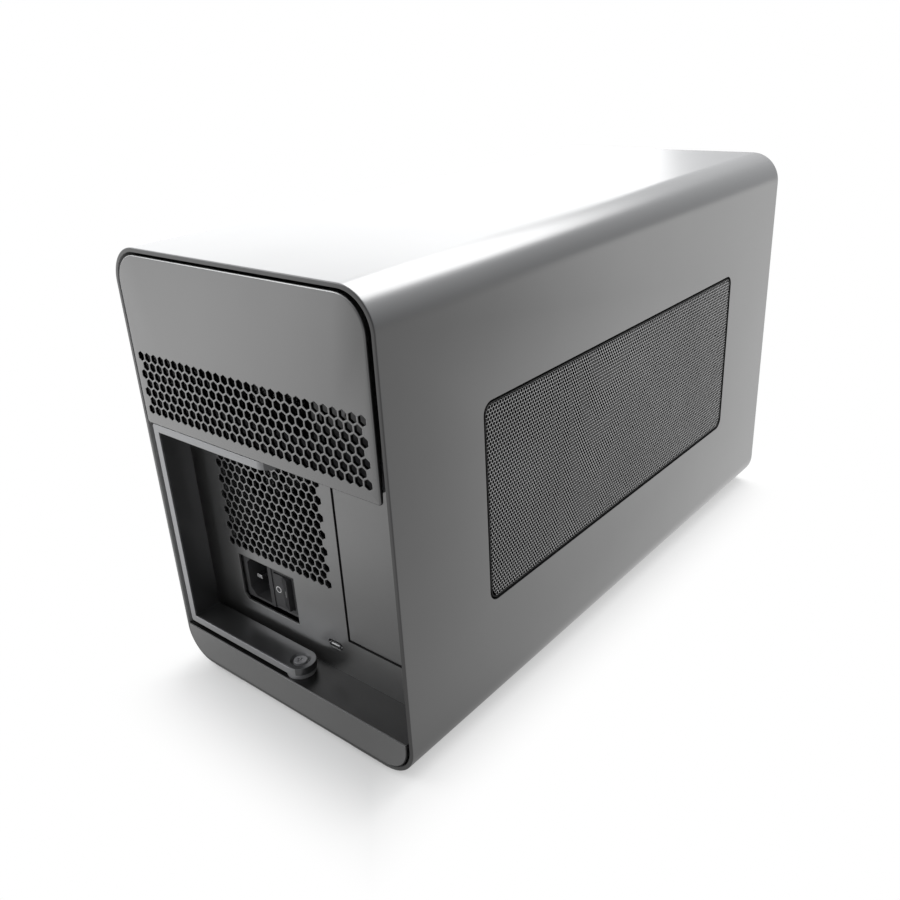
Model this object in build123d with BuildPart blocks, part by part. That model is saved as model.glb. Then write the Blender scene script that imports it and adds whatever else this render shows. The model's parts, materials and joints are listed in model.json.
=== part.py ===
from build123d import *
import os
from math import cos, radians, sin, sqrt

os.makedirs("parts", exist_ok=True)

# Case sleeve and feet
case_width = 168.0
case_length = 374.0
case_height = 230.0
case_wall = 2.0
case_corner = 18.0
case_edge = 1.2
foot_height = 1.5
foot_width = 24.0
foot_margin = 18.5
foot_inset = 1.0
foot_edge = 0.4

# Side windows and their perforated sheets
window_rear = 60.5
window_front = 62.5
window_height = 101.5
window_corner = 6.0
mesh_gap = 1.2
mesh_sheet = 0.8
mesh_recess = 0.3
mesh_flange = 6.0
mesh_rows = 6
mesh_columns = 2
mesh_bar = 3.4

# End panels
panel_gap = 1.1
panel_proud = 1.0
panel_sheet = 1.5
panel_round = 0.8
panel_flange = 6.0
front_groove = 3.0
front_plug = 5.0
front_plug_depth = 9.0
front_pad = 100.0

# Rear recess and sliding tray
recess_floor = 22.8
recess_depth = 19.5
tray_sheet = 1.2
tray_side = 12.0
tray_stop = 27.0
tray_rim = 16.0
ledge_front_lip = 3.0
ledge_back_lip = 4.8
stay_leg = 9.6
rail_height = 1.5
rail_width = 12.0
rail_side = 15.0
rail_inset = 27.0
rail_clear = 0.1

# Hexagon vents
hex_pitch = 7.7
hex_flat = 6.45
vent_side = 3.0
vent_rows = 5
vent_rise = 21.75
field_side = 2.0
field_rows = 9
field_bottom = 74.6
exhaust_height = 30.0
exhaust_drop = 24.25

# Pull handle and its pivots
handle_depth = 16.0
handle_thick = 4.0
handle_height = 117.6
handle_clear = 2.7
handle_side = 4.0
handle_bend = 1.5
handle_lip = 0.7
pivot_x = 2.0
pivot_radius = 2.5
pivot_running = 0.05
pivot_play = 0.1
pivot_head = 3.6
pivot_head_height = 1.3
pivot_cross = 1.0
pivot_sink = 5.2
pivot_sink_depth = 1.6
pivot_sink_angle = 35.0
pivot_spacer = 7.4

# Expansion slot cover
cover_side = 3.4
cover_width = 50.2
cover_bottom = 45.7
cover_top = 164.4
cover_seam = 1.6
cover_tab = 38.0
cover_tab_lap = 10.0
cover_screw = 2.0
cover_screw_spread = 24.0

# Power supply
psu_side = 19.3
psu_cover_gap = 5.1
psu_height = 150.0
psu_depth = 140.0
psu_bottom = 39.8
psu_sheet = 1.0
psu_gap = 2.0
psu_fan_hole = 114.0
guard_ring = 2.0
guard_thick = 1.6
guard_radius = 40.0
shelf_short = 35.3
shelf_inset = 6.0
supply_board = 1.6
supply_sink = 9.6
supply_sink_share = 0.6
transformer_share = 0.25
supply_rise_share = 0.33

# Power inlet and switch in the back panel's cut-out
cutout_side = 12.0
cutout_end = 11.1
cutout_bottom = 39.0
cutout_top = 66.9
cutout_corner = 3.0
inlet_side = 21.7
inlet_z = 54.0
inlet_flange_width = 22.3
inlet_flange_height = 26.8
inlet_flange = 1.2
inlet_hole_width = 16.5
inlet_hole_height = 24.0
inlet_hole_corner = 4.2
inlet_hole_depth = 16.0
inlet_wall = 1.2
pin_width = 4.0
pin_thick = 2.0
pin_pitch = 7.0
pin_offset = 2.0
pin_recess = 2.0
pin_short = 3.5
switch_pitch = 20.4
switch_width = 16.6
switch_height = 23.0
switch_hole_width = 13.8
switch_hole_height = 19.2
switch_depth = 12.0
rocker_half = 6.1
rocker_length = 18.4
rocker_rise = 4.2
rocker_dip = 2.9
rocker_back = 3.0
rocker_tilt = 8.0
rocker_pivot_depth = 2.5
rocker_pin = 1.2
rocker_pin_length = 0.9
rocker_running = 0.05

# Main board
board_top = 36.4
board_sheet = 1.6
board_side = 4.0
board_over = 1.0
board_reach = 34.3
board_back_gap = 1.4
post_radius = 3.0
post_inset = 6.5
screw_radius = 3.0
screw_height = 1.8
port_side = 11.4
port_width = 8.94
port_height = 3.26
port_wall = 0.35
port_depth = 7.5
port_proud = 0.1
port_cut = 0.6
slot_side = 9.6
slot_width = 7.5
slot_height = 11.2
slot_length = 89.6
slot_start = 49.0
slot_groove = 2.0
slot_groove_depth = 8.0
sink_width = 24.0
sink_length = 36.0
sink_base = 2.5
sink_fins = 6
sink_fin = 2.0
sink_fin_height = 6.0
capacitor_radius = 4.0
capacitor_height = 10.0
capacitor_pitch = 10.0
capacitor_ahead = 50.0
plug_width = 20.0
plug_depth = 10.0
plug_height = 12.0
plug_side = 20.0
plug_inset = 15.0
plug_hole = 3.2
plug_hole_pitch = 4.5
plug_hole_depth = 9.0

# Fans, with their large hidden rounds drawn as many-sided polygons
round_sides = 18
fan_size = 120.0
fan_depth = 25.0
fan_bore = 117.0
fan_hole_spread = 105.0
fan_hole = 4.3
fan_hub = 20.0
fan_strut = 3.0
fan_strut_width = 5.0
fan_post = 4.0
fan_post_length = 15.0
fan_running = 0.05
fan_axial = 0.8
fan_blades = 7
fan_tip = 56.0
fan_chord = 24.0
fan_blade = 1.8
fan_pitch = 45.0
fan_side = 6.2
fan_bracket_edge = 5.0
fan_screw_radius = 3.5

# Positions that follow from the sizes above
case_bottom = foot_height
case_mid = case_bottom + case_height / 2
rear_y = -case_length / 2
front_y = case_length / 2
inner_half = case_width / 2 - case_wall
inner_bottom = case_bottom + case_wall
inner_top = case_bottom + case_height - case_wall
inner_corner = case_corner - case_wall
foot_spread = case_width - 2 * foot_margin - foot_width
window_length = case_length - window_rear - window_front
window_mid = (window_rear - window_front) / 2
panel_half = inner_half - panel_gap
panel_bottom = inner_bottom + panel_gap
panel_top = inner_top - panel_gap
panel_corner = inner_corner - panel_gap
panel_face = rear_y - panel_proud
panel_back = panel_face + panel_sheet
back_face = rear_y + recess_depth
back_inner = back_face + tray_sheet
handle_web_x = handle_side - inner_half
handle_bottom = recess_floor + handle_clear
handle_top = handle_bottom + handle_height
handle_mid = (handle_bottom + handle_top) / 2
recess_ceiling = handle_top + handle_clear
upper_bottom = handle_top + handle_lip
vent_mid = upper_bottom + vent_rise
pivot_y = rear_y + handle_depth / 2
tray_half = inner_half - tray_side
tray_front = front_y - tray_stop
rail_spread = 2 * (tray_half - rail_side)
tray_bottom = inner_bottom + rail_height + rail_clear
tray_floor_top = tray_bottom + tray_sheet
cover_right = inner_half - cover_side
cover_left = cover_right - cover_width
psu_left = psu_side - inner_half
psu_width = cover_left - psu_cover_gap - psu_left
psu_face = back_inner + psu_gap
psu_front = psu_face + psu_depth
psu_mid_x = psu_left + psu_width / 2
psu_mid_y = psu_face + psu_depth / 2
psu_mid_z = psu_bottom + psu_height / 2
exhaust_mid = psu_bottom + psu_height - exhaust_drop
hex_row = hex_pitch * sqrt(3) / 2
vent_columns = int(2 * (panel_half - vent_side) / hex_pitch)
field_columns = int((psu_width - 2 * field_side) / hex_pitch)
field_height = (field_rows - 1) * hex_row
inlet_face = psu_face - inlet_flange
inlet_x = psu_left + inlet_side
switch_x = inlet_x + switch_pitch
cutout_left = inlet_x - cutout_side
cutout_right = switch_x + cutout_end
shelf_right = psu_left + psu_width - shelf_short
board_left = shelf_right + board_side
board_right = tray_half + board_over
board_front = psu_front + board_reach
board_back = back_inner + board_back_gap
port_x = cover_left - port_side
port_z = board_top + port_height / 2
slot_x = cover_left + slot_side
fan_left = fan_side - inner_half
fan_right = fan_left + fan_depth
fan_mid_y = (psu_front + tray_front) / 2


def across(y):
    """Upright plane facing the rear; sketch x runs along +X and sketch y along +Z."""
    return Plane.XZ.offset(-y)


def fan_plane(x, y, z):
    """Upright plane facing +X; sketch x runs along +Y and sketch y along +Z."""
    return Plane(origin=(x, y, z), x_dir=(0, 1, 0), z_dir=(1, 0, 0))


def hexagon_centres(columns, rows):
    """Centres of a staggered pattern whose outer rows are the longer ones."""
    centres = []
    for row in range(rows):
        count = columns - row % 2
        for column in range(count):
            centres.append(((column - (count - 1) / 2) * hex_pitch, (row - (rows - 1) / 2) * hex_row))
    return centres


# Outer sleeve: one bent aluminium tube with a window in each long side
with BuildPart() as outer_sleeve:
    with BuildSketch(across(front_y)):
        with Locations((0, case_mid)):
            RectangleRounded(case_width, case_height, case_corner)
            RectangleRounded(2 * inner_half, inner_top - inner_bottom, inner_corner, mode=Mode.SUBTRACT)
    extrude(amount=case_length)
    for end in outer_sleeve.faces().filter_by(Axis.Y):
        chamfer(end.outer_wire().edges(), case_edge)
    with BuildSketch(Plane.YZ.offset(-case_width)):
        with Locations((window_mid, case_mid)):
            RectangleRounded(window_length, window_height, window_corner)
    extrude(amount=2 * case_width, mode=Mode.SUBTRACT)

# Two long rubber foot strips
with BuildPart() as foot_strips:
    with BuildSketch(Plane.XY):
        with GridLocations(foot_spread, 0, 2, 1):
            Rectangle(foot_width, case_length - 2 * foot_inset)
    extrude(amount=foot_height)
    chamfer(foot_strips.edges().group_by(Axis.Z)[0], foot_edge)

# Nylon rails that the tray glides on
with BuildPart() as glide_rails:
    with BuildSketch(Plane.XY.offset(inner_bottom)):
        with GridLocations(rail_spread, 0, 2, 1):
            Rectangle(rail_width, case_length - 2 * rail_inset)
    extrude(amount=rail_height)

# Front panel: a flush cap held by four pads against the sleeve's inner walls
with BuildPart() as front_panel:
    with BuildSketch(across(front_y + panel_proud)):
        with Locations((0, case_mid)):
            RectangleRounded(2 * panel_half, panel_top - panel_bottom, panel_corner)
    extrude(amount=panel_proud + front_groove)
    chamfer(front_panel.faces().sort_by(Axis.Y)[-1].edges(), panel_round / 2)
    with BuildSketch(across(front_y - front_groove)):
        with Locations((0, case_mid)):
            Rectangle(2 * inner_half, front_pad)
            Rectangle(front_pad, inner_top - inner_bottom)
            Rectangle(2 * (inner_half - front_plug), inner_top - inner_bottom - 2 * front_plug,
                      mode=Mode.SUBTRACT)
    extrude(amount=front_plug_depth)

# Window sheet: an embossed field seen through the window, on a flange behind the sleeve's wall
field_long = window_length - 2 * mesh_gap
field_tall = window_height - 2 * mesh_gap
slot_long = (field_long - (mesh_columns + 1) * mesh_bar) / mesh_columns
slot_tall = (field_tall - (mesh_rows + 1) * mesh_bar) / mesh_rows
with BuildPart() as right_mesh:
    with BuildSketch(Plane.YZ.offset(inner_half)):
        with Locations((window_mid, case_mid)):
            Rectangle(window_length + 2 * mesh_flange, window_height + 2 * mesh_flange)
    extrude(amount=-mesh_sheet)
    with BuildSketch(Plane.YZ.offset(inner_half - mesh_sheet)):
        with Locations((window_mid, case_mid)):
            RectangleRounded(field_long, field_tall, window_corner - mesh_gap)
    extrude(amount=case_wall - mesh_recess + mesh_sheet)
    with BuildSketch(Plane.YZ.offset(inner_half - mesh_sheet)):
        with Locations((window_mid, case_mid)):
            RectangleRounded(field_long - 2 * mesh_sheet, field_tall - 2 * mesh_sheet,
                             window_corner - mesh_gap - mesh_sheet)
    extrude(amount=case_wall - mesh_recess, mode=Mode.SUBTRACT)
    with BuildSketch(Plane.YZ.offset(inner_half)):
        with Locations((window_mid, case_mid)):
            with GridLocations(slot_long + mesh_bar, slot_tall + mesh_bar, mesh_columns, mesh_rows):
                Rectangle(slot_long, slot_tall)
    extrude(amount=case_wall, mode=Mode.SUBTRACT)
with BuildPart() as left_mesh:
    mirror(right_mesh.part, about=Plane.YZ)

# Tray pan: floor with a low rim folded up all round
with BuildPart() as tray_pan:
    with BuildSketch(Plane.XY.offset(tray_bottom)):
        with Locations((0, (back_inner + tray_front) / 2)):
            Rectangle(2 * tray_half, tray_front - back_inner)
    extrude(amount=tray_rim)
    offset(amount=-tray_sheet, openings=tray_pan.faces().sort_by(Axis.Z)[-1])

# Back panel of the recess: hexagon field, cut-outs for inlet, data port and expansion slot
with BuildPart() as back_panel:
    with BuildSketch(across(back_face)):
        with Locations((0, case_mid)):
            RectangleRounded(2 * panel_half, panel_top - panel_bottom, panel_corner)
        with Locations((psu_mid_x, field_bottom + field_height / 2)):
            with Locations(hexagon_centres(field_columns, field_rows)):
                RegularPolygon(hex_flat / 2, 6, major_radius=False, rotation=30, mode=Mode.SUBTRACT)
        with Locations((psu_mid_x, exhaust_mid)):
            Rectangle(field_columns * hex_pitch, exhaust_height, mode=Mode.SUBTRACT)
        with BuildLine():
            Polyline((cutout_left + cutout_corner, cutout_bottom), (cutout_right, cutout_bottom),
                     (cutout_right, cutout_top), (cutout_left, cutout_top),
                     (cutout_left, cutout_bottom + cutout_corner), close=True)
        make_face(mode=Mode.SUBTRACT)
        with Locations((port_x, port_z)):
            SlotOverall(port_width + 2 * port_cut, port_height + 2 * port_cut, mode=Mode.SUBTRACT)
        with Locations(((cover_left + cover_right) / 2, (cover_bottom + cover_top) / 2)):
            Rectangle(cover_right - cover_left + 2 * cover_seam, cover_top - cover_bottom + 2 * cover_seam,
                      mode=Mode.SUBTRACT)
        with Locations(((cover_left + cover_right) / 2, cover_top + cover_seam + cover_tab_lap / 2)):
            with GridLocations(cover_screw_spread, 0, 2, 1):
                RegularPolygon(cover_screw + pivot_running, 6, mode=Mode.SUBTRACT)
    extrude(amount=-tray_sheet)

# Rear upper panel: rolled edges on three sides and the hexagon vent
with BuildPart() as rear_upper_panel:
    with BuildSketch(across(panel_face)):
        with Locations((0, case_mid)):
            RectangleRounded(2 * panel_half, panel_top - panel_bottom, panel_corner)
        with Locations((0, upper_bottom)):
            Rectangle(case_width, case_height, align=(Align.CENTER, Align.MAX), mode=Mode.SUBTRACT)
    extrude(amount=-panel_flange)
    chamfer(rear_upper_panel.faces().sort_by(Axis.Y)[0].edges(), panel_round / 2)
    with BuildSketch(across(panel_back)):
        with Locations((0, case_mid)):
            RectangleRounded(2 * (panel_half - panel_sheet), panel_top - panel_bottom - 2 * panel_sheet,
                             panel_corner - panel_sheet)
    extrude(amount=-panel_flange, mode=Mode.SUBTRACT)
    with BuildSketch(across(panel_back)):
        with Locations((0, vent_mid)):
            with Locations(hexagon_centres(vent_columns, vent_rows)):
                RegularPolygon(hex_flat / 2, 6, major_radius=False, rotation=30)
    extrude(amount=2 * panel_sheet, mode=Mode.SUBTRACT)

# Rear lower panel: its top edge folds back as the recess floor
with BuildPart() as rear_lower_panel:
    with BuildSketch(across(panel_face)):
        with Locations((0, case_mid)):
            RectangleRounded(2 * panel_half, panel_top - panel_bottom, panel_corner)
        with Locations((0, recess_floor)):
            Rectangle(case_width, case_height, align=(Align.CENTER, Align.MIN), mode=Mode.SUBTRACT)
    extrude(amount=-panel_flange)
    with BuildSketch(across(back_face)):
        with Locations((0, recess_floor)):
            Rectangle(2 * panel_half, panel_sheet, align=(Align.CENTER, Align.MAX))
    extrude(amount=back_face - panel_face)
    chamfer(rear_lower_panel.faces().sort_by(Axis.Y)[0].edges(), panel_round / 2)
    with BuildSketch(across(panel_back)):
        with Locations((0, case_mid)):
            RectangleRounded(2 * (panel_half - panel_sheet), panel_top - panel_bottom - 2 * panel_sheet,
                             panel_corner - panel_sheet)
        with Locations((0, recess_floor - panel_sheet)):
            Rectangle(case_width, case_height, align=(Align.CENTER, Align.MIN), mode=Mode.SUBTRACT)
    extrude(amount=-panel_flange, mode=Mode.SUBTRACT)
    with BuildSketch(Plane.XY.offset(recess_floor)):
        with Locations((pivot_x, pivot_y)):
            Circle(pivot_radius + pivot_running)
    extrude(amount=-2 * panel_sheet, mode=Mode.SUBTRACT)

# Upper ledge: the recess ceiling, folded up against both panels
ledge_half = panel_half - panel_flange
with BuildPart() as upper_ledge:
    with BuildSketch(Plane.YZ.offset(-ledge_half)):
        with BuildLine():
            Polyline((panel_back, recess_ceiling), (back_face, recess_ceiling),
                     (back_face, recess_ceiling + ledge_back_lip),
                     (back_face - tray_sheet, recess_ceiling + ledge_back_lip),
                     (back_face - tray_sheet, recess_ceiling + tray_sheet),
                     (panel_back + tray_sheet, recess_ceiling + tray_sheet),
                     (panel_back + tray_sheet, recess_ceiling + ledge_front_lip),
                     (panel_back, recess_ceiling + ledge_front_lip), close=True)
        make_face()
    extrude(amount=2 * ledge_half)
    with BuildSketch(Plane.XY.offset(recess_ceiling)):
        with Locations((pivot_x, pivot_y)):
            Circle(pivot_radius + pivot_running)
    extrude(amount=2 * tray_sheet, mode=Mode.SUBTRACT)

# Top stay: a channel that holds the upper panel's top to the back panel
stay_top = panel_top - panel_corner
with BuildPart() as top_stay:
    with BuildSketch(Plane.YZ.offset(-tray_half)):
        with BuildLine():
            Polyline((panel_back, stay_top), (back_face, stay_top),
                     (back_face, stay_top - stay_leg),
                     (back_face - tray_sheet, stay_top - stay_leg),
                     (back_face - tray_sheet, stay_top - tray_sheet),
                     (panel_back + tray_sheet, stay_top - tray_sheet),
                     (panel_back + tray_sheet, stay_top - stay_leg),
                     (panel_back, stay_top - stay_leg), close=True)
        make_face()
    extrude(amount=2 * tray_half)

# Slot cover: flush plate with a lap at each end behind the back panel
cover_mid = (cover_left + cover_right) / 2
with BuildPart() as slot_cover:
    with BuildSketch(across(back_face)):
        with Locations((cover_mid, (cover_bottom + cover_top) / 2)):
            Rectangle(cover_right - cover_left, cover_top - cover_bottom)
    extrude(amount=-tray_sheet)
    with BuildSketch(across(back_inner)):
        for edge in (cover_bottom + cover_seam, cover_top):
            with Locations((cover_mid, edge)):
                Rectangle(cover_tab, 2 * cover_tab_lap)
        with Locations((cover_mid, cover_top + cover_seam + cover_tab_lap / 2)):
            with GridLocations(cover_screw_spread, 0, 2, 1):
                RegularPolygon(cover_screw + pivot_running, 6, mode=Mode.SUBTRACT)
    extrude(amount=-tray_sheet)
with BuildPart() as slot_cover_screws:
    with BuildSketch(across(back_face)):
        with Locations((cover_mid, cover_top + cover_seam + cover_tab_lap / 2)):
            with GridLocations(cover_screw_spread, 0, 2, 1):
                RegularPolygon(2 * cover_screw, 6)
    extrude(amount=screw_height)
    with BuildSketch(across(back_face)):
        with Locations((cover_mid, cover_top + cover_seam + cover_tab_lap / 2)):
            with GridLocations(cover_screw_spread, 0, 2, 1):
                RegularPolygon(cover_screw, 6)
    extrude(amount=-3 * tray_sheet)

# Pull handle: a flat bar bent into a C with round, countersunk tabs on the pivots
with BuildPart() as handle:
    with BuildSketch(across(rear_y)):
        with Locations((handle_web_x, handle_mid)):
            Rectangle(pivot_x - handle_web_x + handle_depth / 2, handle_height,
                      align=(Align.MIN, Align.CENTER))
        with Locations((handle_web_x + handle_thick, handle_mid)):
            Rectangle(case_width, handle_height - 2 * handle_thick, align=(Align.MIN, Align.CENTER),
                      mode=Mode.SUBTRACT)
    extrude(amount=-handle_depth)
    fillet(handle.edges().filter_by(Axis.Y).group_by(Axis.X)[0], handle_bend)
    with BuildSketch(Plane.XY.offset(handle_bottom)):
        with Locations((pivot_x, pivot_y)):
            Rectangle(pivot_x - handle_web_x, handle_depth, align=(Align.MAX, Align.CENTER))
            Circle(handle_depth / 2)
            Circle(pivot_radius + pivot_running, mode=Mode.SUBTRACT)
    extrude(amount=handle_height, mode=Mode.INTERSECT)
    for arm, facing in ((handle_bottom + handle_thick, -1), (handle_top - handle_thick, 1)):
        with BuildSketch(Plane(origin=(pivot_x, pivot_y, arm), z_dir=(0, 0, facing))):
            Circle(pivot_sink)
        extrude(amount=pivot_sink_depth, taper=pivot_sink_angle, mode=Mode.SUBTRACT)

# Pivot screws sunk in the tabs, and the spacers between the tabs and the sheets
screw_seat = handle_bottom + handle_thick - pivot_sink_depth + pivot_play
with BuildPart() as handle_pivot_screws:
    with BuildSketch(Plane.XY.offset(recess_floor - panel_sheet)):
        with Locations((pivot_x, pivot_y)):
            Circle(pivot_radius)
    extrude(amount=screw_seat - recess_floor + panel_sheet)
    with BuildSketch(Plane.XY.offset(screw_seat)):
        with Locations((pivot_x, pivot_y)):
            Circle(pivot_head)
    extrude(amount=pivot_head_height, taper=12)
    with BuildSketch(Plane.XY.offset(screw_seat + pivot_head_height)):
        with Locations((pivot_x, pivot_y)):
            Rectangle(pivot_head, pivot_cross)
            Rectangle(pivot_cross, pivot_head)
    extrude(amount=-pivot_head_height / 2, mode=Mode.SUBTRACT)
    mirror(about=Plane.XY.offset(handle_mid))
with BuildPart() as handle_spacers:
    with BuildSketch(Plane.XY.offset(recess_floor)):
        with Locations((pivot_x, pivot_y)):
            Circle(pivot_spacer)
            RegularPolygon(pivot_radius + pivot_running, round_sides, major_radius=False, mode=Mode.SUBTRACT)
    extrude(amount=handle_clear - pivot_play)
    mirror(about=Plane.XY.offset(handle_mid))

# Power supply housing with rear vent, fan opening and pockets for inlet and switch
with BuildPart() as psu_housing:
    with BuildSketch(Plane.XY.offset(psu_bottom)):
        with Locations((psu_mid_x, psu_mid_y)):
            Rectangle(psu_width, psu_depth)
    extrude(amount=psu_height)
    with BuildSketch(Plane.XY.offset(psu_bottom + psu_sheet)):
        with Locations((psu_mid_x, psu_mid_y)):
            Rectangle(psu_width - 2 * psu_sheet, psu_depth - 2 * psu_sheet)
    extrude(amount=psu_height - 2 * psu_sheet, mode=Mode.SUBTRACT)
    with BuildSketch(across(psu_face)):
        with Locations((psu_mid_x, field_bottom - hex_pitch)):
            Rectangle(field_columns * hex_pitch, exhaust_mid + exhaust_height / 2 - field_bottom + hex_pitch,
                      align=(Align.CENTER, Align.MIN))
        with Locations((inlet_x, inlet_z)):
            Rectangle(inlet_hole_width + 2 * inlet_wall, inlet_hole_height + 2 * inlet_wall)
        with Locations((switch_x, inlet_z)):
            Rectangle(switch_hole_width + inlet_wall, switch_hole_height + 2 * inlet_wall)
    extrude(amount=-2 * psu_sheet, mode=Mode.SUBTRACT)
    with BuildSketch(fan_plane(psu_left, psu_mid_y, psu_mid_z)):
        RegularPolygon(psu_fan_hole / 2, round_sides)
    extrude(amount=2 * psu_sheet, mode=Mode.SUBTRACT)

# Ring guard over the power supply's fan, with the post that the fan turns on
with BuildPart() as psu_fan_guard:
    with BuildSketch(fan_plane(psu_left, psu_mid_y, psu_mid_z)):
        RegularPolygon(guard_radius, round_sides)
        RegularPolygon(guard_radius - guard_ring, round_sides, mode=Mode.SUBTRACT)
        Rectangle(psu_fan_hole + 4 * guard_ring, guard_ring, rotation=45)
        Rectangle(psu_fan_hole + 4 * guard_ring, guard_ring, rotation=-45)
        RegularPolygon(fan_hub, round_sides)
    extrude(amount=-guard_thick)
    with BuildSketch(fan_plane(psu_left, psu_mid_y, psu_mid_z)):
        Circle(fan_post)
    extrude(amount=fan_post_length)

# Circuit board, heat sinks and transformer inside the power supply
psu_right_wall = psu_left + psu_width - psu_sheet
psu_inner = psu_height - 2 * psu_sheet
with BuildPart() as psu_board:
    with BuildSketch(fan_plane(psu_right_wall, psu_mid_y, psu_mid_z)):
        Rectangle(psu_depth - 2 * psu_sheet, psu_inner)
    extrude(amount=-supply_board)
with BuildPart() as psu_heat_sinks:
    with BuildSketch(fan_plane(psu_right_wall - supply_board, psu_mid_y, psu_mid_z)):
        with GridLocations(0, psu_inner / 2, 1, 2):
            Rectangle(psu_depth * supply_sink_share, supply_sink)
    extrude(amount=-psu_width * supply_rise_share)
with BuildPart() as psu_transformer:
    with BuildSketch(fan_plane(psu_right_wall - supply_board, psu_mid_y, psu_mid_z)):
        Rectangle(psu_depth * transformer_share, psu_inner * transformer_share)
    extrude(amount=-psu_width * supply_rise_share)

# Shelf that carries the power supply above the tray floor
with BuildPart() as psu_shelf:
    with BuildSketch(across(psu_face + shelf_inset)):
        with Locations(((psu_left + shelf_right) / 2, tray_floor_top)):
            Rectangle(shelf_right - psu_left, psu_bottom - tray_floor_top, align=(Align.CENTER, Align.MIN))
            Rectangle(shelf_right - psu_left - 2 * tray_sheet, psu_bottom - tray_floor_top - tray_sheet,
                      align=(Align.CENTER, Align.MIN), mode=Mode.SUBTRACT)
    extrude(amount=-psu_depth + 2 * shelf_inset)

# Power inlet socket with keyed corners, and its three flat pins, the earth pin the longest
with BuildPart() as inlet_socket:
    with BuildSketch(across(inlet_face)):
        with Locations((inlet_x, inlet_z)):
            Rectangle(inlet_flange_width, inlet_flange_height)
    extrude(amount=-inlet_flange)
    with BuildSketch(across(psu_face)):
        with Locations((inlet_x, inlet_z)):
            Rectangle(inlet_hole_width + 2 * inlet_wall, inlet_hole_height + 2 * inlet_wall)
    extrude(amount=-inlet_hole_depth)
    with BuildSketch(across(inlet_face)):
        with BuildLine():
            Polyline((inlet_x + inlet_hole_width / 2, inlet_z - inlet_hole_height / 2),
                     (inlet_x + inlet_hole_width / 2, inlet_z + inlet_hole_height / 2),
                     (inlet_x - inlet_hole_width / 2 + inlet_hole_corner, inlet_z + inlet_hole_height / 2),
                     (inlet_x - inlet_hole_width / 2, inlet_z + inlet_hole_height / 2 - inlet_hole_corner),
                     (inlet_x - inlet_hole_width / 2, inlet_z - inlet_hole_height / 2 + inlet_hole_corner),
                     (inlet_x - inlet_hole_width / 2 + inlet_hole_corner, inlet_z - inlet_hole_height / 2),
                     close=True)
        make_face()
    extrude(amount=-inlet_hole_depth, mode=Mode.SUBTRACT)
with BuildPart() as inlet_pins:
    with BuildSketch(across(inlet_face + inlet_hole_depth)):
        with Locations((inlet_x - pin_offset, inlet_z)):
            Rectangle(pin_width, pin_thick)
    extrude(amount=inlet_hole_depth - pin_recess)
    with BuildSketch(across(inlet_face + inlet_hole_depth)):
        with Locations((inlet_x + pin_offset, inlet_z)):
            with GridLocations(0, 2 * pin_pitch, 1, 2):
                Rectangle(pin_width, pin_thick)
    extrude(amount=inlet_hole_depth - pin_recess - pin_short)

# Switch bezel and its two-position rocker, resting tipped to the off side
with BuildPart() as switch_bezel:
    with BuildSketch(across(inlet_face)):
        with Locations((switch_x, inlet_z)):
            Rectangle(switch_width, switch_height)
    extrude(amount=-inlet_flange)
    with BuildSketch(across(psu_face)):
        with Locations((switch_x, inlet_z)):
            Rectangle(switch_hole_width + inlet_wall, switch_hole_height + 2 * inlet_wall)
    extrude(amount=-switch_depth)
    with BuildSketch(across(inlet_face)):
        with Locations((switch_x, inlet_z)):
            Rectangle(switch_hole_width, switch_hole_height)
    extrude(amount=-switch_depth, mode=Mode.SUBTRACT)
    with BuildSketch(Plane.XY.offset(inlet_z - rocker_length / 2 - rocker_pin_length - rocker_running)):
        with Locations((switch_x, inlet_face + rocker_pivot_depth)):
            Circle(rocker_pin + rocker_running)
    extrude(amount=rocker_length + 2 * rocker_pin_length + 2 * rocker_running, mode=Mode.SUBTRACT)


def rocker_point(along, out):
    """Point of the rocker's section, tipped by the rest angle about its pivot."""
    turn = radians(rocker_tilt)
    return (switch_x + along * cos(turn) - out * sin(turn),
            inlet_face + rocker_pivot_depth - along * sin(turn) - out * cos(turn))


with BuildPart() as rocker:
    with BuildSketch(Plane.XY.offset(inlet_z - rocker_length / 2)):
        with BuildLine():
            Polyline(rocker_point(-rocker_half, rocker_rise), rocker_point(0, rocker_dip),
                     rocker_point(rocker_half, rocker_rise), rocker_point(rocker_half, 0),
                     rocker_point(0, -rocker_back), rocker_point(-rocker_half, 0), close=True)
        make_face()
    extrude(amount=rocker_length)
    with BuildSketch(Plane.XY.offset(inlet_z - rocker_length / 2 - rocker_pin_length)):
        with Locations((switch_x, inlet_face + rocker_pivot_depth)):
            Circle(rocker_pin)
    extrude(amount=rocker_length + 2 * rocker_pin_length)

# Main board on posts, with its screws
post_left = board_left + post_inset
post_right = board_right - post_inset
post_mid_x = (post_left + post_right) / 2
board_mid_y = (board_back + board_front) / 2
post_span_y = board_front - board_back - 2 * post_inset
with BuildPart() as main_board:
    with BuildSketch(Plane.XY.offset(board_top)):
        with Locations(((board_left + board_right) / 2, board_mid_y)):
            Rectangle(board_right - board_left, board_front - board_back)
    extrude(amount=-board_sheet)
with BuildPart() as board_standoffs:
    with BuildSketch(Plane.XY.offset(tray_floor_top)):
        with Locations((post_mid_x, board_mid_y)):
            with GridLocations(post_right - post_left, post_span_y, 2, 2):
                RegularPolygon(post_radius, 6)
    extrude(amount=board_top - board_sheet - tray_floor_top)
with BuildPart() as board_screws:
    with BuildSketch(Plane.XY.offset(board_top)):
        with Locations((post_mid_x, board_mid_y)):
            with GridLocations(post_right - post_left, post_span_y, 2, 2):
                RegularPolygon(screw_radius, 6)
    extrude(amount=screw_height)

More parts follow.
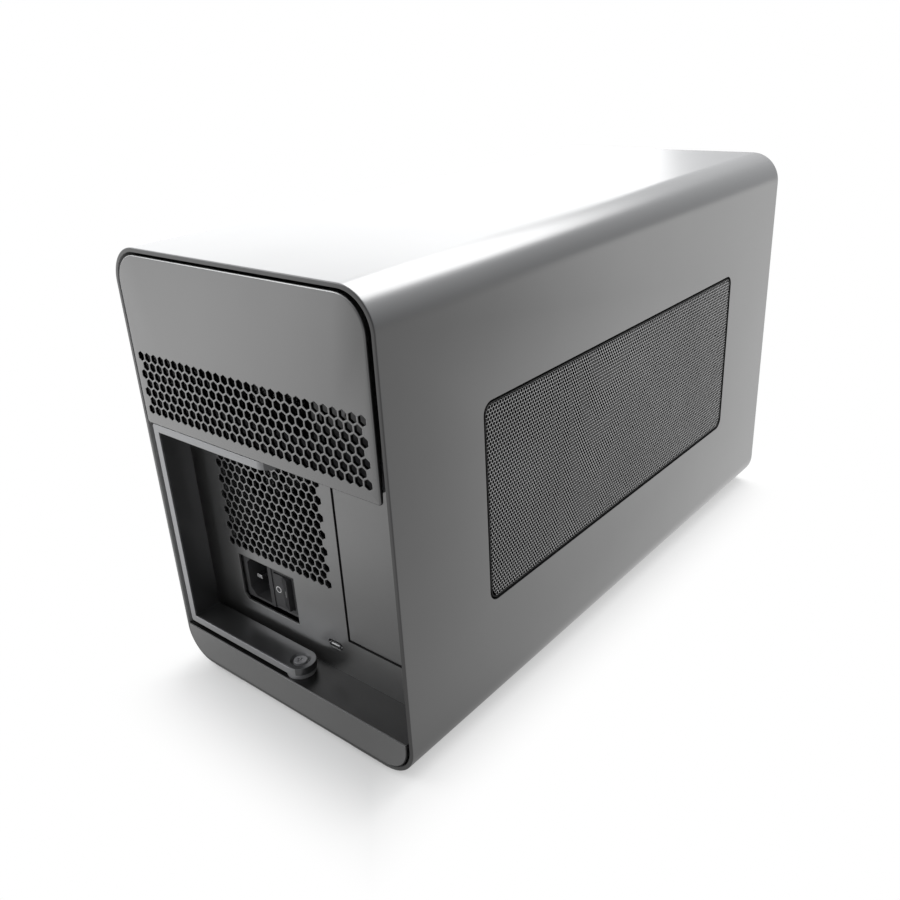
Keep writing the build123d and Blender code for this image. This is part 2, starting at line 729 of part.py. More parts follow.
# Long card slot on the main board
with BuildPart() as card_slot:
    with BuildSketch(Plane.XY.offset(board_top)):
        with Locations((slot_x, back_inner + slot_start)):
            Rectangle(slot_width, slot_length, align=(Align.CENTER, Align.MIN))
    extrude(amount=slot_height)
    with BuildSketch(Plane.XY.offset(board_top + slot_height)):
        with Locations((slot_x, back_inner + slot_start + slot_groove)):
            Rectangle(slot_groove, slot_length - 2 * slot_groove, align=(Align.CENTER, Align.MIN))
    extrude(amount=-slot_groove_depth, mode=Mode.SUBTRACT)

# Finned heat sink, capacitors and power socket on the main board
sink_x = (slot_x + slot_width / 2 + board_right) / 2
with BuildPart() as board_heat_sink:
    with BuildSketch(Plane.XY.offset(board_top)):
        with Locations((sink_x, board_mid_y)):
            Rectangle(sink_width, sink_length)
    extrude(amount=sink_base)
    with BuildSketch(Plane.XY.offset(board_top + sink_base)):
        with Locations((sink_x, board_mid_y)):
            with GridLocations(0, (sink_length - sink_fin) / (sink_fins - 1), 1, sink_fins):
                Rectangle(sink_width, sink_fin)
    extrude(amount=sink_fin_height)
with BuildPart() as board_capacitors:
    with BuildSketch(Plane.XY.offset(board_top)):
        with Locations((sink_x, board_mid_y + capacitor_ahead)):
            with GridLocations(capacitor_pitch, 0, 3, 1):
                RegularPolygon(capacitor_radius, round_sides // 2)
    extrude(amount=capacitor_height)
with BuildPart() as board_power_socket:
    with BuildSketch(Plane.XY.offset(board_top)):
        with Locations((post_left + plug_side, board_front - plug_inset)):
            Rectangle(plug_width, plug_depth)
    extrude(amount=plug_height)
    with BuildSketch(Plane.XY.offset(board_top + plug_height)):
        with Locations((post_left + plug_side, board_front - plug_inset)):
            with GridLocations(plug_hole_pitch, plug_hole_pitch, 4, 2):
                Rectangle(plug_hole, plug_hole)
    extrude(amount=-plug_hole_depth, mode=Mode.SUBTRACT)

# Data port: a rounded metal mouth with a tongue inside
with BuildPart() as data_port:
    with BuildSketch(across(back_face - port_proud)):
        with Locations((port_x, port_z)):
            SlotOverall(port_width, port_height)
    extrude(amount=-port_depth)
    with BuildSketch(across(back_face - port_proud)):
        with Locations((port_x, port_z)):
            SlotOverall(port_width - 2 * port_wall, port_height - 2 * port_wall)
            Rectangle(port_width - port_height, 2 * port_wall, mode=Mode.SUBTRACT)
    extrude(amount=-port_depth + port_wall, mode=Mode.SUBTRACT)


def build_fan_rotor(base, side):
    """Hub cup that turns on a post rising from the base plane, with flat pitched blades."""
    with BuildPart() as rotor:
        with BuildSketch(base.offset(side * fan_axial)):
            RegularPolygon(fan_hub, round_sides)
        extrude(amount=side * fan_hub)
        for blade in range(fan_blades):
            turn = radians(360 / fan_blades * blade)
            out = base.x_dir * cos(turn) + base.y_dir * sin(turn)
            root = base.origin + base.z_dir * side * (fan_axial + fan_hub / 2) + out * (fan_hub - fan_strut)
            with BuildSketch(Plane(origin=root, x_dir=base.z_dir, z_dir=out)):
                Rectangle(fan_chord, fan_blade, rotation=fan_pitch)
            extrude(amount=fan_tip - fan_hub + fan_strut)
        with BuildSketch(base):
            Circle(fan_post + fan_running)
        extrude(amount=side * (fan_post_length + fan_axial), mode=Mode.SUBTRACT)
    return rotor


psu_fan_rotor = build_fan_rotor(fan_plane(psu_left, psu_mid_y, psu_mid_z), 1)
fan_rotor = build_fan_rotor(fan_plane(fan_right - fan_strut, fan_mid_y, case_mid), -1)

# Case fan frame with hub plate, struts and bearing post on its inner side
fan_base = fan_plane(fan_left, fan_mid_y, case_mid)
with BuildPart() as fan_frame:
    with BuildSketch(fan_base):
        Rectangle(fan_size, fan_size)
        RegularPolygon(fan_bore / 2, round_sides, mode=Mode.SUBTRACT)
        with GridLocations(fan_hole_spread, fan_hole_spread, 2, 2):
            RegularPolygon(fan_hole / 2, 6, mode=Mode.SUBTRACT)
    extrude(amount=fan_depth)
    with BuildSketch(fan_base.offset(fan_depth)):
        RegularPolygon(fan_hub, round_sides)
        Rectangle(fan_bore + fan_strut, fan_strut_width)
        Rectangle(fan_strut_width, fan_bore + fan_strut)
    extrude(amount=-fan_strut)
    with BuildSketch(fan_base.offset(fan_depth - fan_strut)):
        Circle(fan_post)
    extrude(amount=-fan_post_length)

# Upright bracket that carries the case fan, with a foot on the tray floor
bracket_tall = case_mid + fan_size / 2 + fan_bracket_edge - tray_floor_top
bracket_long = fan_size + 2 * fan_bracket_edge
with BuildPart() as fan_bracket:
    with BuildSketch(fan_plane(fan_right, fan_mid_y, tray_floor_top)):
        Rectangle(bracket_long, bracket_tall, align=(Align.CENTER, Align.MIN))
        with Locations((0, case_mid - tray_floor_top)):
            RegularPolygon(psu_fan_hole / 2, round_sides, mode=Mode.SUBTRACT)
            with GridLocations(fan_hole_spread, fan_hole_spread, 2, 2):
                RegularPolygon(fan_hole / 2, 6, mode=Mode.SUBTRACT)
    extrude(amount=tray_sheet)
    with BuildSketch(Plane.XY.offset(tray_floor_top)):
        with Locations((fan_right, fan_mid_y)):
            Rectangle(tray_rim, bracket_long, align=(Align.MIN, Align.CENTER))
    extrude(amount=tray_sheet)
with BuildPart() as fan_screws:
    with BuildSketch(fan_plane(fan_right + tray_sheet, fan_mid_y, case_mid)):
        with GridLocations(fan_hole_spread, fan_hole_spread, 2, 2):
            RegularPolygon(fan_screw_radius, 6)
    extrude(amount=screw_height)
    with BuildSketch(fan_plane(fan_right + tray_sheet, fan_mid_y, case_mid)):
        with GridLocations(fan_hole_spread, fan_hole_spread, 2, 2):
            RegularPolygon(fan_hole / 2 - fan_running, 6)
    extrude(amount=-fan_depth / 2)

pieces = {
    "outer_sleeve": outer_sleeve, "front_panel": front_panel, "foot_strips": foot_strips,
    "glide_rails": glide_rails, "right_mesh": right_mesh, "left_mesh": left_mesh,
    "tray_pan": tray_pan, "back_panel": back_panel, "rear_upper_panel": rear_upper_panel,
    "rear_lower_panel": rear_lower_panel, "upper_ledge": upper_ledge, "top_stay": top_stay,
    "slot_cover": slot_cover, "slot_cover_screws": slot_cover_screws, "handle": handle,
    "handle_pivot_screws": handle_pivot_screws, "handle_spacers": handle_spacers,
    "psu_housing": psu_housing, "psu_fan_guard": psu_fan_guard, "psu_board": psu_board,
    "psu_heat_sinks": psu_heat_sinks, "psu_transformer": psu_transformer, "psu_shelf": psu_shelf,
    "inlet_socket": inlet_socket, "inlet_pins": inlet_pins,
    "switch_bezel": switch_bezel, "rocker": rocker, "main_board": main_board,
    "board_standoffs": board_standoffs, "board_screws": board_screws, "card_slot": card_slot,
    "board_heat_sink": board_heat_sink, "board_capacitors": board_capacitors,
    "board_power_socket": board_power_socket, "data_port": data_port,
    "psu_fan_rotor": psu_fan_rotor, "fan_frame": fan_frame, "fan_rotor": fan_rotor,
    "fan_bracket": fan_bracket, "fan_screws": fan_screws,
}
for label, piece in pieces.items():
    piece.part.label = label
    export_step(piece.part, f"parts/{label}.step")
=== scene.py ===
import json
import math

import bmesh
import bpy
from mathutils import Matrix, Vector
from mathutils.geometry import delaunay_2d_cdt


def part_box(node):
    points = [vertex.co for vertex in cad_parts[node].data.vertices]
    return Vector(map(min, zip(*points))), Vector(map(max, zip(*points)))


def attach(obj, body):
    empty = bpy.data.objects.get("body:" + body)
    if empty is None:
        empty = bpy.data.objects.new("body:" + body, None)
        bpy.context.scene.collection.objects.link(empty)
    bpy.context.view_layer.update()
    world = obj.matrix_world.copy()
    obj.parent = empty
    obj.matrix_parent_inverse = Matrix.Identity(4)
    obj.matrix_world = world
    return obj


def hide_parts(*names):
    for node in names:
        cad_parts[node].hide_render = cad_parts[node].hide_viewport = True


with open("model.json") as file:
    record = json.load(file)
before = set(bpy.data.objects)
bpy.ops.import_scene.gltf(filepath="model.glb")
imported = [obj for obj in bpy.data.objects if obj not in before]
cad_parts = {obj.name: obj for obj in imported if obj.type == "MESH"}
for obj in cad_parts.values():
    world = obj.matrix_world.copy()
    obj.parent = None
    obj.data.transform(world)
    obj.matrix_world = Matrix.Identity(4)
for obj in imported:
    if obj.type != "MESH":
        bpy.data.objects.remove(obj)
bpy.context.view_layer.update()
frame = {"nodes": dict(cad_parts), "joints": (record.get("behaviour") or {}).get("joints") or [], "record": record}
nodes = frame["nodes"]

# Corners and faces of the solids in metres, and the switch's joint
sleeve_low, sleeve_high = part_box("outer_sleeve")
upper_low, upper_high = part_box("rear_upper_panel")
back_low, back_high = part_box("back_panel")
mesh_low, mesh_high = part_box("right_mesh")
cover_low, cover_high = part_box("slot_cover")
port_low, port_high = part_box("data_port")
lower_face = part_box("rear_lower_panel")[0][1]
handle_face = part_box("handle")[0][1]
switch = next(joint for joint in frame["joints"] if joint["name"] == "switch_rock")

# Sizes in metres that the solids have too; a cut-out is left, right, bottom and top
WALL = 0.002
CORNER = 0.018
WINDOW_CORNER = 0.006
FLANGE = 0.006
MESH_GAP = 0.0012
MESH_SHEET = 0.0008
PANEL_CORNER = 0.0149
PANEL_SHEET = 0.0015
RECESS_TOP = 0.1458
CUTOUT = (-0.0530, -0.0095, 0.0390, 0.0669)
CUTOUT_CORNER = 0.003
PORT_CUT = 0.0006
COVER_SEAM = 0.0016
COVER_BOTTOM = 0.0457
COVER_TOP = 0.1644
ROCKER_HALF = 0.0061
ROCKER_RISE = 0.0042
ROCKER_DIP = 0.0029

# Finer forms made here, in metres: the rounds at the sleeve's ends and the upper panel's rolled edge
SLEEVE_ROUND = 0.0006
PANEL_ROLL = 0.0008

# The upper panel: the gap at its sides, its lower corners, and the foot that has no flange
SIDE_TRIM = 0.0012
FOOT_CORNER = 0.0016
FOOT_LEAST = 0.0002
FOOT_BAND = 0.002

# Hexagons of the upper panel's vent and of the back panel's field
HEX_PITCH = 0.00527
HEX_FLAT = 0.0044
VENT_LOW = 0.15185
VENT_COLUMNS = 29
VENT_ROWS = 7
FIELD_X = -0.01975
FIELD_LOW = 0.0736
FIELD_COLUMNS = 15
FIELD_ROWS = 13

# The back panel's exhaust opening, and what keeps the ends of the port's arcs apart
EXHAUST = (-0.0599, 0.0204, 0.15055, 0.18055)
EXHAUST_CORNER = 0.001
PORT_EASE = 0.00001

# Window sheets: pitch, radius and depth of the holes, the ring of painted shade round the field with its lift off
# the face, and the ring that closes the border behind the last holes
MESH_PITCH = 0.002
MESH_HOLE = 0.00096
MESH_DEEP = 0.0022
SHADE_RING_WIDTH = 0.0006
SHADE_RING_LIFT = 0.00002
MESH_MARGIN = 0.0035

# Marks on the rocker: their place, their lift off its face, and the half sizes of ring and bar
MARK_OFFSET = 0.0034
MARK_LIFT = 0.00003
RING_OUTER = 0.0019
RING_INNER = 0.0014
BAR_WIDE = 0.00025
BAR_TALL = 0.0018
BAR_CORNER = 0.0001

# Steps round a quarter turn, sides of the ring, and how sheets are filled and meshes cleaned
CORNER_STEPS = 10
SLEEVE_STEPS = 24
PORT_STEPS = 8
SMALL_STEPS = 2
ROLL_STEPS = 6
RING_SIDES = 32
INSIDE_ONLY = 1
FILL_REACH = 1e-7
MERGE_REACH = 1e-6
SHARP_ANGLE = math.radians(35)

# Detail of the finishes
CASE_GREY = (0.290, 0.290, 0.290)
CLOUD_SCALE = 18.0
CLOUD_DETAIL = 3.0
GRAIN_SCALE = 1400.0
GRAIN_DETAIL = 2.0
GRAIN_STRENGTH = 0.5
GRAIN_HEIGHT = 0.00001
TONE_STOPS = (0.3, 0.7)
TONE_SPREAD = 0.08
SATIN_SPREAD = 0.02
ROUGH_SWING = 0.006
EDGE_ROUND = 0.0004
FINE_EDGE = 0.0001
EDGE_SAMPLES = 4

# Depths and heights at which painted shade starts on a finish, in metres, and the gain of that painted shade
HANDLE_EDGE = 0.0009
HANDLE_SHADE = 0.45
BEHIND_VENT_SHADE = 0.7
FOLD_EDGE = 0.00002
FOLD_SHADE = 0.22
RIM_EDGE = 0.0003
RIM_SHADE = 0.55
ROLL_EDGE = 0.00035
PAST_ROLL_SHADE = 0.2
TONGUE_GLINT_HALF = 0.0004
PORT_SHELL_SHADE = 0.06

# Floor: how it whitens away from the box, and the painted shadow and painted dimming that metal mirrors in it at
# the rear and towards the near right
FLOOR_SIZE = 8.0
FLOOR_COLOUR = (0.93, 0.93, 0.92, 1.0)
FLOOR_ROUGH = 0.9
WHITE_SIDE = 0.03
WHITE_SPAN = (0.0, 0.06)
WHITE_SHARE = (0.25, 1.0)
SHADE_FROM = (-0.02, -0.16, 0.0)
SHADE_SPAN = (0.06, 0.16)
SHADE_LEVEL = (0.55, 1.0)
DIM_TOWARDS = (0.766, -0.643, 0.0)
DIM_SPAN = (-0.10, 0.30)
DIM_LEVEL = (1.0, 0.36)

# Lamps: place, target and size in metres, power in watts
LAMPS = {
    "overhead": ((-0.2, 0.9, 1.5), (0.0, 0.0, 0.2), (1.6, 1.0), 17.0),
    "left_front": ((-1.45, 0.8, 0.65), (0.0, 0.0, 0.2), (2.6, 1.2), 13.0),
    "rear_left": ((-1.1, -0.9, 1.0), (0.0, -0.15, 0.12), (0.9, 0.7), 5.0),
}

# Background that the camera sees, and the room that lights the box: colour, brightest side and level
SEEN_COLOUR = (1.0, 1.0, 1.0, 1.0)
ROOM_COLOUR = (0.97, 0.98, 1.0, 1.0)
ROOM_TOWARDS = (-0.6, 0.5, 0.62)
ROOM_SPAN = (-0.3, 0.7)
ROOM_LEVEL = (0.25, 1.0)

# Camera fitted to the photo: angles in degrees, place in metres, lens and sensor in millimetres
CAMERA_AZIMUTH = 40.857
CAMERA_ELEVATION = 24.635
CAMERA_ROLL = -3.289
CAMERA_PLACE = (0.306653, -0.407137, 0.31086)
CAMERA_LENS = 36.2116
CAMERA_SENSOR = 36.0
CAMERA_NEAR = 0.01


# Finishes

def add_node(tree, kind, operation=None, second=None, **values):
    """New shader node, with its operation, its second input and other inputs by name."""
    node = tree.nodes.new("ShaderNode" + kind)
    if operation is not None:
        node.operation = operation
    if second is not None:
        node.inputs[1].default_value = second
    for name, value in values.items():
        node.inputs[name.replace("_", " ")].default_value = value
    return node


def empty_tree(owner):
    """Node tree of a material or world, with no nodes in it yet."""
    owner.use_nodes = True
    owner.node_tree.nodes.clear()
    return owner.node_tree


def surface(name, colour, rough, metallic=0.0, grain=GRAIN_SCALE, bump=GRAIN_HEIGHT, spread=TONE_SPREAD,
            edge=EDGE_ROUND):
    """Procedural finish: broad tone drift, fine grain in roughness and height, softened edges."""
    mat = bpy.data.materials.new(name)
    tree = empty_tree(mat)
    link = tree.links.new
    out = add_node(tree, "OutputMaterial")
    finish = add_node(tree, "BsdfPrincipled", Metallic=metallic)
    finish.name = "finish"
    coords = add_node(tree, "TexCoord")
    coords.name = "coords"
    broad = add_node(tree, "TexNoise", Scale=CLOUD_SCALE, Detail=CLOUD_DETAIL)
    fine = add_node(tree, "TexNoise", Scale=grain, Detail=GRAIN_DETAIL)
    tone = add_node(tree, "ValToRGB")
    tone.name = "tone"
    for element, stop, gain in zip(tone.color_ramp.elements, TONE_STOPS, (1 - spread, 1 + spread)):
        element.position = stop
        element.color = [c * gain for c in colour] + [1.0]
    swing = add_node(tree, "MapRange", To_Min=rough - ROUGH_SWING, To_Max=rough + ROUGH_SWING)
    bevel = add_node(tree, "Bevel", Radius=edge)
    bevel.samples = EDGE_SAMPLES
    height = add_node(tree, "Bump", Strength=GRAIN_STRENGTH, Distance=bump)
    link(coords.outputs["Object"], broad.inputs["Vector"])
    link(coords.outputs["Object"], fine.inputs["Vector"])
    link(broad.outputs["Fac"], tone.inputs["Fac"])
    link(tone.outputs["Color"], finish.inputs["Base Color"])
    link(fine.outputs["Fac"], swing.inputs["Value"])
    link(swing.outputs["Result"], finish.inputs["Roughness"])
    link(fine.outputs["Fac"], height.inputs["Height"])
    link(bevel.outputs["Normal"], height.inputs["Normal"])
    link(height.outputs["Normal"], finish.inputs["Normal"])
    link(finish.outputs["BSDF"], out.inputs["Surface"])
    return mat


def satin(name, rough, metallic=1.0, colour=CASE_GREY, edge=EDGE_ROUND):
    """Smooth, even finish of the case's metal."""
    return surface(name, colour, rough, metallic, bump=0.0, spread=SATIN_SPREAD, edge=edge)


def scale_tone(mat, axis, operation, mark, reach=0.0, if_false=1.0, if_true=1.0):
    """Scales a finish's colour by a test on where a point lies along one axis of its piece; here it paints shade
    by place.

    GREATER_THAN is true past the mark, and COMPARE is true within reach of it.
    """
    tree = mat.node_tree
    link = tree.links.new
    place = add_node(tree, "SeparateXYZ")
    test = add_node(tree, "Math", operation, second=mark)
    test.inputs[2].default_value = reach
    gain = add_node(tree, "MapRange", To_Min=if_false, To_Max=if_true)
    scale = add_node(tree, "VectorMath", "SCALE")
    link(tree.nodes["coords"].outputs["Object"], place.inputs["Vector"])
    link(place.outputs[axis], test.inputs[0])
    link(test.outputs["Value"], gain.inputs["Value"])
    link(tree.nodes["tone"].outputs["Color"], scale.inputs[0])
    link(gain.outputs["Result"], scale.inputs["Scale"])
    link(scale.outputs["Vector"], tree.nodes["finish"].inputs["Base Color"])


# One finish for each material slot: colour, roughness and what differs from the usual
looks = {
    "sleeve_grey": satin("sleeve_grey", 0.30),
    "panel_grey": satin("panel_grey", 0.27),
    # handle_grey is lighter than the case's grey so that the handle's front edges read lit, a painted highlight;
    # behind them it is scaled down as painted shade
    "handle_grey": satin("handle_grey", 0.28, metallic=0.88, colour=(0.380, 0.384, 0.392)),
    "mesh_dark": surface("mesh_dark", (0.520, 0.520, 0.522), 0.35, metallic=1.0, edge=FINE_EDGE),
    "foot_rubber": surface("foot_rubber", (0.020, 0.020, 0.020), 0.8, grain=600.0),
    "rail_nylon": surface("rail_nylon", (0.60, 0.60, 0.57), 0.5),
    "tray_steel": surface("tray_steel", (0.100, 0.100, 0.104), 0.50),
    "supply_black": surface("supply_black", (0.120, 0.120, 0.123), 0.55),
    "moulded_black": surface("moulded_black", (0.050, 0.050, 0.052), 0.50),
    "rotor_black": surface("rotor_black", (0.015, 0.015, 0.015), 0.45),
    "rocker_black": surface("rocker_black", (0.040, 0.040, 0.042), 0.35),
    "pin_metal": surface("pin_metal", (0.70, 0.70, 0.71), 0.22, metallic=1.0),
    "screw_steel": surface("screw_steel", (0.34, 0.34, 0.35), 0.34, metallic=0.5, edge=0.0003),
    "board_black": surface("board_black", (0.010, 0.022, 0.014), 0.40, grain=500.0),
    "sink_metal": surface("sink_metal", (0.030, 0.030, 0.032), 0.50),
    "part_dark": surface("part_dark", (0.020, 0.020, 0.022), 0.45),
}

# Finishes of single pieces
upper_grey = satin("upper_grey", 0.27)
recess_grey = satin("recess_grey", 0.30, metallic=0.9)
fold_grey = satin("fold_grey", 0.34, metallic=0.9, edge=0.00005)
lining_grey = surface("lining_grey", (0.33, 0.33, 0.33), 0.5)
# The port's finish: pale in a thin band as a painted glint on the tongue, with the shell round it scaled dark as
# painted shade
port_glint_and_shade = surface("port_glint_and_shade", (0.85, 0.85, 0.86), 0.30, metallic=0.5)
mark_white = surface("mark_white", (0.75, 0.75, 0.75), 0.5, edge=FINE_EDGE)
# Black for the walls of gaps and holes and for a ring on each window's face: painted shade where these read dark
seam_shade_black = surface("seam_shade_black", (0.008, 0.008, 0.008), 0.7, edge=FINE_EDGE)

# Painted shade by place: the handle behind its lit front edge, the back wall above the recess, the lower panel
# behind its face, the sleeve's two end rims, the upper panel past its rolled edge (flange and vent hole walls),
# and the port's shell round a thin band that stays bright as a painted glint on the tongue
port_mid = (port_low[2] + port_high[2]) / 2
scale_tone(looks["handle_grey"], "Y", "GREATER_THAN", handle_face + HANDLE_EDGE, if_true=HANDLE_SHADE)
scale_tone(recess_grey, "Z", "GREATER_THAN", RECESS_TOP, if_true=BEHIND_VENT_SHADE)
scale_tone(fold_grey, "Y", "GREATER_THAN", lower_face + FOLD_EDGE, if_true=FOLD_SHADE)
scale_tone(looks["sleeve_grey"], "Y", "COMPARE", 0.0, sleeve_high[1] - RIM_EDGE, if_false=RIM_SHADE)
scale_tone(upper_grey, "Y", "GREATER_THAN", upper_low[1] + ROLL_EDGE, if_true=PAST_ROLL_SHADE)
scale_tone(port_glint_and_shade, "Z", "COMPARE", port_mid, TONGUE_GLINT_HALF, if_false=PORT_SHELL_SHADE)

slot_of = {s["node"]: s["material_slot"] for s in frame["record"]["subparts"]}
own_look = {"slot_cover": recess_grey, "rear_lower_panel": fold_grey, "data_port": port_glint_and_shade}
for name, obj in nodes.items():
    obj.data.materials.clear()
    obj.data.materials.append(own_look.get(name, looks[slot_of[name]]))


# Loops of points and the meshes made from them

def rectangle(x0, x1, z0, z1):
    """Anticlockwise loop of a plain rectangle."""
    return [(x0, z0), (x1, z0), (x1, z1), (x0, z1)]


def rounded(x0, x1, z0, z1, upper, lower=None, steps=CORNER_STEPS):
    """Anticlockwise loop of a rectangle with round corners, from the lower right one on."""
    lower = upper if lower is None else lower
    corners = (
        (x1 - lower, z0 + lower, lower, -90),
        (x1 - upper, z1 - upper, upper, 0),
        (x0 + upper, z1 - upper, upper, 90),
        (x0 + lower, z0 + lower, lower, 180),
    )
    loop = []
    for x, z, radius, start in corners:
        for k in range(steps + 1):
            angle = math.radians(start + 90 * k / steps)
            loop.append((x + radius * math.cos(angle), z + radius * math.sin(angle)))
    return loop


def polygon(x, z, radius, sides, turn=0.0):
    """Anticlockwise regular polygon."""
    angles = [turn + 2 * math.pi * k / sides for k in range(sides)]
    return [(x + radius * math.cos(a), z + radius * math.sin(a)) for a in angles]


def hexagon(x, z, radius):
    """Hexagon that stands on a corner."""
    return polygon(x, z, radius, 6, math.pi / 6)


def hexagons(mid_x, low_z, columns, rows):
    """Loops of a staggered field of hexagons, the longer row lowest."""
    loops = []
    for row in range(rows):
        count = columns - row % 2
        z = low_z + row * HEX_PITCH * math.sqrt(3) / 2
        for column in range(count):
            x = mid_x + (column - (count - 1) / 2) * HEX_PITCH
            loops.append(hexagon(x, z, HEX_FLAT / math.sqrt(3)))
    return loops


def at_y(y):
    """Places a sketch point (x, z) on an upright plane across the box."""
    return lambda p: (p[0], y, p[1])


def at_x(x):
    """Places a sketch point (y, z) on an upright plane along the box."""
    return lambda p: (x, p[0], p[1])


def placed(loop, place):
    """The points of a sketch loop in space."""
    return [place(p) for p in loop]


def edge_rings(loop_at, end, inward, radius):
    """Rings of a rounded end, from its flank to its face; loop_at gives the outline at an inset."""
    rings = []
    for k in range(ROLL_STEPS + 1):
        angle = math.pi / 2 * k / ROLL_STEPS
        place = at_y(end + inward * radius * (1 - math.sin(angle)))
        rings.append(placed(loop_at(radius * (1 - math.cos(angle))), place))
    return rings


def fill(outer, holes):
    """Points of a flat sheet with holes, and the triangles that lie in its outer loop alone."""
    points, faces = [], []
    for loop in [outer] + holes:
        faces.append(list(range(len(points), len(points) + len(loop))))
        points += [Vector(p) for p in loop]
    verts, _, tris, _, _, owners = delaunay_2d_cdt(points, [], faces, INSIDE_ONLY, FILL_REACH)
    return [tuple(v) for v in verts], [t for t, own in zip(tris, owners) if list(own) == [0]]


class Builder:
    """Collects the faces of one piece and makes them a mesh object."""

    def __init__(self):
        self.verts, self.faces = [], []

    def add(self, verts, faces):
        """Adds points, and faces that count from the first of them."""
        base = len(self.verts)
        self.verts += verts
        self.faces += [tuple(base + i for i in f) for f in faces]

    def flat(self, outer, holes, place):
        """Flat sheet with holes."""
        points, tris = fill(outer, holes)
        self.add(placed(points, place), tris)

    def strip(self, loop_a, loop_b, skip=()):
        """Closed band between two loops of as many points, without the skipped quads."""
        n = len(loop_a)
        quads = [(i, (i + 1) % n, n + (i + 1) % n, n + i) for i in range(n) if i not in skip]
        self.add(loop_a + loop_b, quads)

    def loft(self, rings):
        """Bands from each ring to the next."""
        for ring, following in zip(rings, rings[1:]):
            self.strip(ring, following)

    def wall(self, loop, place_a, place_b, skip=()):
        """Band between two places of one sketch loop."""
        self.strip(placed(loop, place_a), placed(loop, place_b), skip)

    def finish(self, name, slot, body, replaced=None, look=None):
        """Joins the faces where they meet, and sets the piece on its body with its finish."""
        mesh = bpy.data.meshes.new(name)
        mesh.from_pydata(self.verts, [], self.faces)
        work = bmesh.new()
        work.from_mesh(mesh)
        bmesh.ops.remove_doubles(work, verts=work.verts, dist=MERGE_REACH)
        bmesh.ops.recalc_face_normals(work, faces=work.faces)
        work.to_mesh(mesh)
        work.free()
        mesh.polygons.foreach_set("use_smooth", [True] * len(mesh.polygons))
        mesh.set_sharp_from_angle(angle=SHARP_ANGLE)
        mesh.materials.append(look or looks[slot])
        obj = bpy.data.objects.new(name, mesh)
        bpy.context.scene.collection.objects.link(obj)
        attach(obj, body)
        if replaced:
            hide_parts(replaced)


# Outer sleeve with finely rounded ends and a window in each long side, and its lining

def sleeve_loop(inset):
    """The sleeve's outline across the box."""
    return rounded(sleeve_low[0] + inset, sleeve_high[0] - inset, sleeve_low[2] + inset,
                   sleeve_high[2] - inset, CORNER - inset, steps=SLEEVE_STEPS)


window = rounded(mesh_low[1] + FLANGE, mesh_high[1] - FLANGE, mesh_low[2] + FLANGE,
                 mesh_high[2] - FLANGE, WINDOW_CORNER)
rear, front = sleeve_low[1], sleeve_high[1]
sleeve, lining = Builder(), Builder()
for skin, inset, shorter in ((sleeve, 0.0, SLEEVE_ROUND), (lining, WALL, 0.0)):
    start, end = rear + shorter, front - shorter
    loop = sleeve_loop(inset)
    right_flat = len(loop) // 4 - 1
    left_flat = 3 * len(loop) // 4 - 1
    skin.wall(loop, at_y(start), at_y(end), (right_flat, left_flat))
    low, high = loop[right_flat][1], loop[right_flat + 1][1]
    for side in (-1, 1):
        skin.flat(rectangle(start, end, low, high), [window], at_x(side * (sleeve_high[0] - inset)))
for end, inward in ((rear, 1), (front, -1)):
    sleeve.loft(edge_rings(sleeve_loop, end, inward, SLEEVE_ROUND))
    sleeve.flat(sleeve_loop(SLEEVE_ROUND), [sleeve_loop(WALL)], at_y(end))
sleeve.finish("sleeve_fine", "sleeve_grey", "case", "outer_sleeve")
lining.finish("sleeve_lining", "sleeve_grey", "case", look=lining_grey)


# Rear upper panel with the full hexagon vent and a rolled edge

panel_face, panel_inner = upper_low[1], upper_low[1] + PANEL_SHEET


def upper_loop(inset):
    """The panel's outline, with small corners at its foot."""
    side = SIDE_TRIM + inset
    return rounded(upper_low[0] + side, upper_high[0] - side, upper_low[2] + inset, upper_high[2] - inset,
                   PANEL_CORNER - inset, max(FOOT_CORNER - inset, FOOT_LEAST))


def upper_back(p):
    """The flange's end: full depth on three sides, one sheet deep along the bottom."""
    deep = upper_high[1] if p[1] > upper_low[2] + FOOT_BAND else panel_inner
    return (p[0], deep, p[1])


vent = hexagons(0.0, VENT_LOW, VENT_COLUMNS, VENT_ROWS)
inner = upper_loop(PANEL_SHEET)
panel = Builder()
panel.flat(upper_loop(PANEL_ROLL), vent, at_y(panel_face))
panel.flat(inner, vent, at_y(panel_inner))
for loop in vent:
    panel.wall(loop, at_y(panel_face), at_y(panel_inner))
rolled = edge_rings(upper_loop, panel_face, 1, PANEL_ROLL)[::-1]
flange_end = [placed(upper_loop(0.0), upper_back), placed(inner, upper_back)]
panel.loft(rolled + flange_end + [placed(inner, at_y(panel_inner))])
panel.finish("upper_panel_fine", "panel_grey", "tray", "rear_upper_panel", look=upper_grey)


# Back panel of the recess with the full hexagon field and its cut-outs

def socket_loop():
    """Cut-out of the inlet and the switch, with its lower left corner cut off."""
    left, right, low, high = CUTOUT
    slant = [(left, low + CUTOUT_CORNER), (left + CUTOUT_CORNER, low)]
    return slant + [(right, low), (right, high), (left, high)]


def port_loop():
    """Cut-out of the data port, a slot with round ends."""
    radius = (port_high[2] - port_low[2]) / 2 + PORT_CUT - PORT_EASE
    return rounded(port_low[0] - PORT_CUT, port_high[0] + PORT_CUT, port_low[2] - PORT_CUT,
                   port_high[2] + PORT_CUT, radius, steps=PORT_STEPS)


